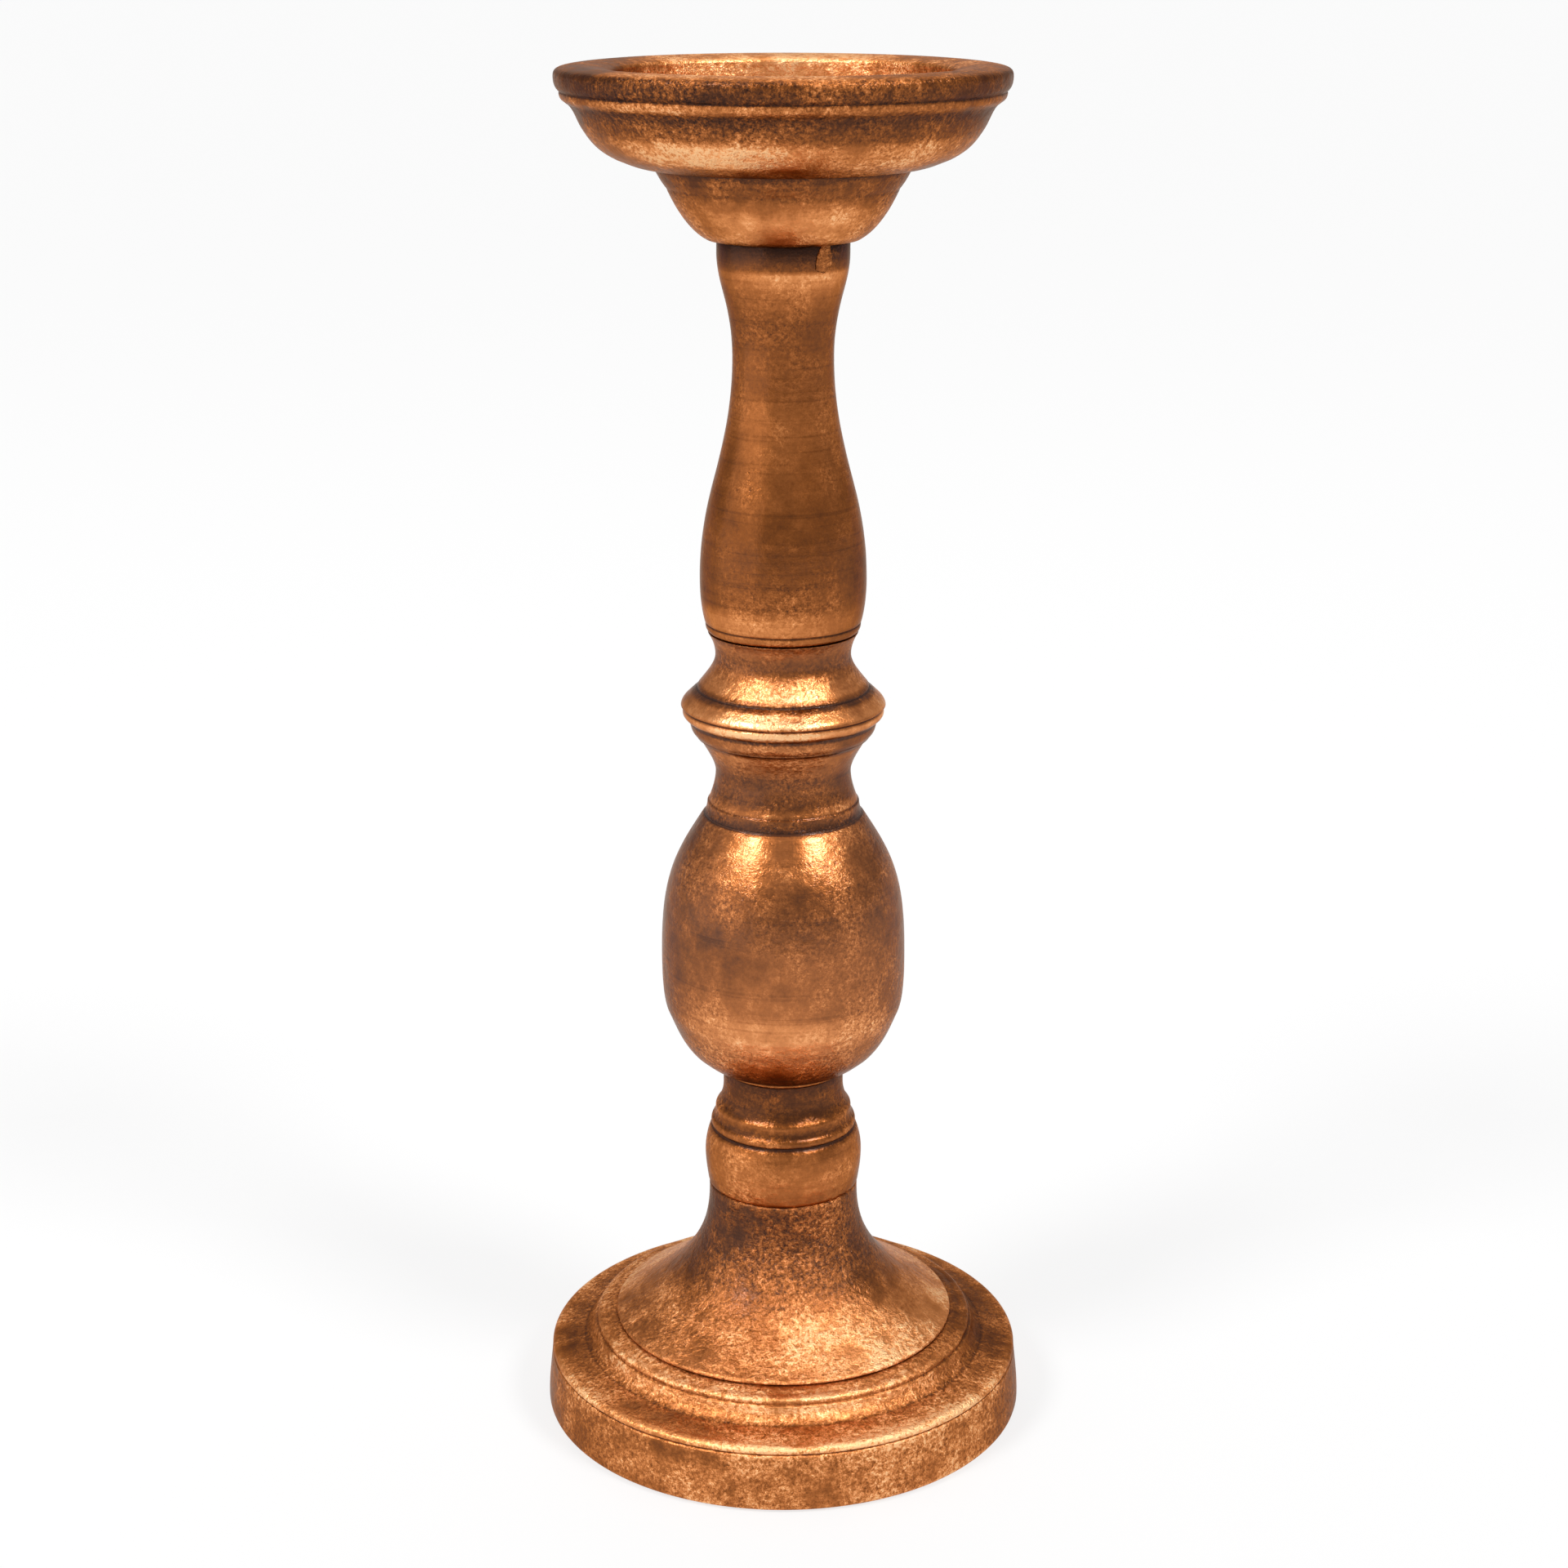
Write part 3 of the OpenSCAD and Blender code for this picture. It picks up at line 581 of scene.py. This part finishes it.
pan_z = cup_high.z
pan_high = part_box("drip_pan")[1]
pan_h = (pan_high.z - pan_z) / MM
pan_r = pan_high.x / MM
plug_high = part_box("well_plug")[1]
well_r = frame["record"]["mounts"][1]["dims"]["r_mm"]
well_floor = (plug_high.z - pan_z) / MM
plug_hole_r = plug_high.x / MM + 0.1
washer_seat = (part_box("pan_washer")[0].z - pan_z) / MM
pan = turned(
    "drip_pan_leafed", pan_z,
    sweep((29.8, 0), (38.3, 2.2), (0.45, 0.05), (0.4, 0.6))
    + sweep((38.3, 2.2), (45.1, 8.4), (0.55, 0.3), (0.25, 0.42))
    + sweep((45.1, 8.4), (48.4, 14.1), (0.45, 0.4), (0.48, 0.26))
    + [Vector((48.75, 14.3))]
    + bead((49.1, 14.6), (50.3, 16.4), 0.3)
    + [Vector((50.2, 16.8))]
    + sweep((50.4, 17.0), (pan_r, 20.0), (0.7, 0.24), (0, 0.45))
    + sweep((pan_r, 20.0), (46, pan_h), (0, 0.75), (0.85, 0.15), 16),
    sweep((46, pan_h), (well_r + 0.5, pan_h - 1.1), (0.35, 0), (0.15, 0.4))[1:]
    + bead((well_r + 0.5, pan_h - 1.1), (well_r, pan_h - 1.8), 0.1, 4)[1:]
    + [(well_r, well_floor), (plug_hole_r, well_floor), (plug_hole_r, washer_seat),
     (ROD_HOLE_R, washer_seat), (ROD_HOLE_R, -PAN_TENON[1])] + tenon(PAN_TENON),
    # Painted light over the leaf's own colour: the light underside is a painted reflection of the floor, and
    # inner_tone_and_light=0.92 paints a reflection on the well's wall.
    ((0, 0.44), (2, 0.64), (3.6, 0.94), (6.5, 0.90), (10, 0.45), (13.8, 0.33), (14.8, 0.62), (16.2, 0.60),
     (17, 0.23), (21.4, 0.23), (22.4, 0.75)),
    top_seam=0, inner_tone_and_light=0.92, painted_side_shade=0.75)
dress(pan, leaf("leaf_pan", (0.4, 0.7, 0), grit=0.5, tooth=0.35), "gilt_wood", "drip_pan")


# ---- Well plug ----
# A turned button pressed into the middle of the well's floor, which hides the upper nut. It is
# leafed like the floor round it.

plug_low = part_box("well_plug")[0]
plug_h = (plug_high.z - plug_low.z) / MM
plug = turned(
    "well_plug_leafed", plug_low.z,
    [Vector((0, 0)), Vector((plug_hole_r - 0.7, 0)), Vector((plug_hole_r - 0.1, 0.6)),
     Vector((plug_hole_r - 0.1, plug_h - 0.35)), Vector((plug_hole_r - 0.45, plug_h)), Vector((0, plug_h))],
    [], ((0, 0.65), (plug_h, 0.75)), foot_seam=0, top_seam=0)
dress(plug, leaf("leaf_plug", (0.6, 0.8, 0), grit=0.35), "gilt_wood", "well_plug")


# ---- Tie rod, nuts and washers ----
# Zinc-plated steel hardware. The rod runs from the recess under the base to the pan's floor, and
# the lower nut bears on a split lock washer and a wide flat washer.


def blend_colour(tree, share, first, second):
    """first where share is 0, second where it is 1."""
    return join(tree, "ShaderNodeMix", {"data_type": "RGBA"}, i0=share, i6=first, i7=second).outputs[2]


zinc = bpy.data.materials.new("zinc_plate")
zinc.use_nodes = True
zinc_tree = zinc.node_tree
zinc_shader = zinc_tree.nodes["Principled BSDF"]
zinc_place = join(zinc_tree, "ShaderNodeTexCoord").outputs["Object"]
zinc_cloud = cloud(zinc_tree, zinc_place, 300, 4)
zinc_scratch = cloud(zinc_tree, zinc_place, 2500, 2)
zinc_tree.links.new(blend_colour(zinc_tree, rise(zinc_tree, zinc_cloud, 0.34, 0.66), (0.38, 0.39, 0.41, 1),
                                 (0.72, 0.71, 0.67, 1)), zinc_shader.inputs["Base Color"])
zinc_shader.inputs["Metallic"].default_value = 1
zinc_tree.links.new(total(zinc_tree, 0.22, times(zinc_tree, zinc_scratch, 0.25)),
                    zinc_shader.inputs["Roughness"])
for hardware in ("tie_rod", "base_washer", "lock_washer", "base_nut", "pan_washer", "pan_nut"):
    steel_piece = frame["nodes"][hardware]
    steel_piece.data.materials.clear()
    steel_piece.data.materials.append(zinc)


# ---- Felt ring ----
# Pressed wool felt, cut to a ring and glued in its shallow recess so that the base won't scratch
# the table.

felt = bpy.data.materials.new("wool_felt")
felt.use_nodes = True
felt_tree = felt.node_tree
felt_shader = felt_tree.nodes["Principled BSDF"]
felt_place = join(felt_tree, "ShaderNodeTexCoord").outputs["Object"]
felt_fibre = cloud(felt_tree, felt_place, 1500, 6, 0.8)
felt_wear = cloud(felt_tree, felt_place, 70, 4, 0.6)
felt_lint = total(felt_tree, felt_fibre, swing(felt_tree, felt_wear, 0.35))
felt_tree.links.new(blend_colour(felt_tree, rise(felt_tree, felt_lint, 0.34, 0.68), (0.045, 0.007, 0.010, 1),
                                 (0.24, 0.045, 0.050, 1)), felt_shader.inputs["Base Color"])
felt_shader.inputs["Roughness"].default_value = 0.95
felt_shader.inputs["Sheen Weight"].default_value = 0.15
felt_bump = join(felt_tree, "ShaderNodeBump", Strength=0.8, Distance=0.3 * MM, Height=felt_fibre)
felt_tree.links.new(felt_bump.outputs[0], felt_shader.inputs["Normal"])
felt_ring = frame["nodes"]["felt_ring"]
felt_ring.data.materials.clear()
felt_ring.data.materials.append(felt)


# ---- Floor, lamps and surroundings ----
# A plain white floor, two soft round lamps in front and above, one to each side of the camera, a
# glowing board at the left and another overhead, in a dim grey room that shows brighter in metal.

paper = bpy.data.materials.new("paper_floor")
paper.use_nodes = True
paper_tree = paper.node_tree
paper_tree.nodes.clear()
plain = join(paper_tree, "ShaderNodeBsdfDiffuse", Color=(0.8, 0.8, 0.8, 1)).outputs[0]
white = join(paper_tree, "ShaderNodeEmission", Color=(1, 1, 1, 1), Strength=1.0).outputs[0]
rays = join(paper_tree, "ShaderNodeLightPath").outputs
seen = reckon(paper_tree, "MAXIMUM", rays["Is Camera Ray"], rays["Is Glossy Ray"])
seen = reckon(paper_tree, "MAXIMUM", seen, rays["Is Transmission Ray"])
paper_mix = join(paper_tree, "ShaderNodeMixShader", i0=times(paper_tree, seen, 0.75), i1=plain, i2=white)
join(paper_tree, "ShaderNodeOutputMaterial", Surface=paper_mix.outputs[0])
floor_half = 25
floor_shape = bmesh.new()
bmesh.ops.create_grid(floor_shape, x_segments=1, y_segments=1, size=floor_half)
floor_mesh = bpy.data.meshes.new("floor")
floor_shape.to_mesh(floor_mesh)
floor_shape.free()
floor_mesh.materials.append(paper)
floor = bpy.data.objects.new("floor", floor_mesh)
bpy.context.collection.objects.link(floor)


def shine(name, data, place, aim):
    """Sets up a light at a place, turned to its aim."""
    made = bpy.data.objects.new(name, data)
    made.location = place
    made.rotation_euler = (Vector(aim) - Vector(place)).to_track_quat("-Z", "Y").to_euler()
    bpy.context.collection.objects.link(made)


def direction(azimuth, elevation):
    """A direction away from the object. azimuth is measured from the camera's side, to the right."""
    a, e = math.radians(azimuth), math.radians(elevation)
    return Vector((math.sin(a) * math.cos(e), -math.cos(a) * math.cos(e), math.sin(e)))


for lamp_name, azimuth in (("lamp_left", -52), ("lamp_right", 53)):
    lamp_data = bpy.data.lights.new(lamp_name, "SUN")
    lamp_data.angle = math.radians(16)
    lamp_data.energy = 1.75
    shine(lamp_name, lamp_data, direction(azimuth, 47) * 2, (0, 0, 0))

left_data = bpy.data.lights.new("board_left", "AREA")
left_data.shape = "RECTANGLE"
left_data.size = 1.3
left_data.size_y = 0.8
left_data.energy = 2.0
shine("board_left", left_data, direction(-66, 0) + Vector((0, 0, 0.25)), (0, 0, 0.25))

above_data = bpy.data.lights.new("board_above", "AREA")
above_data.size = 1.0
above_data.energy = 5.0
shine("board_above", above_data, (0, 0.5, 1.4), (0, 0, 0.15))

ROOM_LIGHT = 0.24
ROOM_SHINE = 0.3
room = bpy.data.worlds.new("room")
bpy.context.scene.world = room
room.use_nodes = True
room_tree = room.node_tree
room_air = room_tree.nodes["Background"]
room_air.inputs["Color"].default_value = (1, 1, 1, 1)
in_metal = join(room_tree, "ShaderNodeLightPath").outputs["Is Glossy Ray"]
room_tree.links.new(total(room_tree, ROOM_LIGHT, times(room_tree, in_metal, ROOM_SHINE)),
                    room_air.inputs["Strength"])
bpy.context.scene.view_settings.view_transform = "Standard"
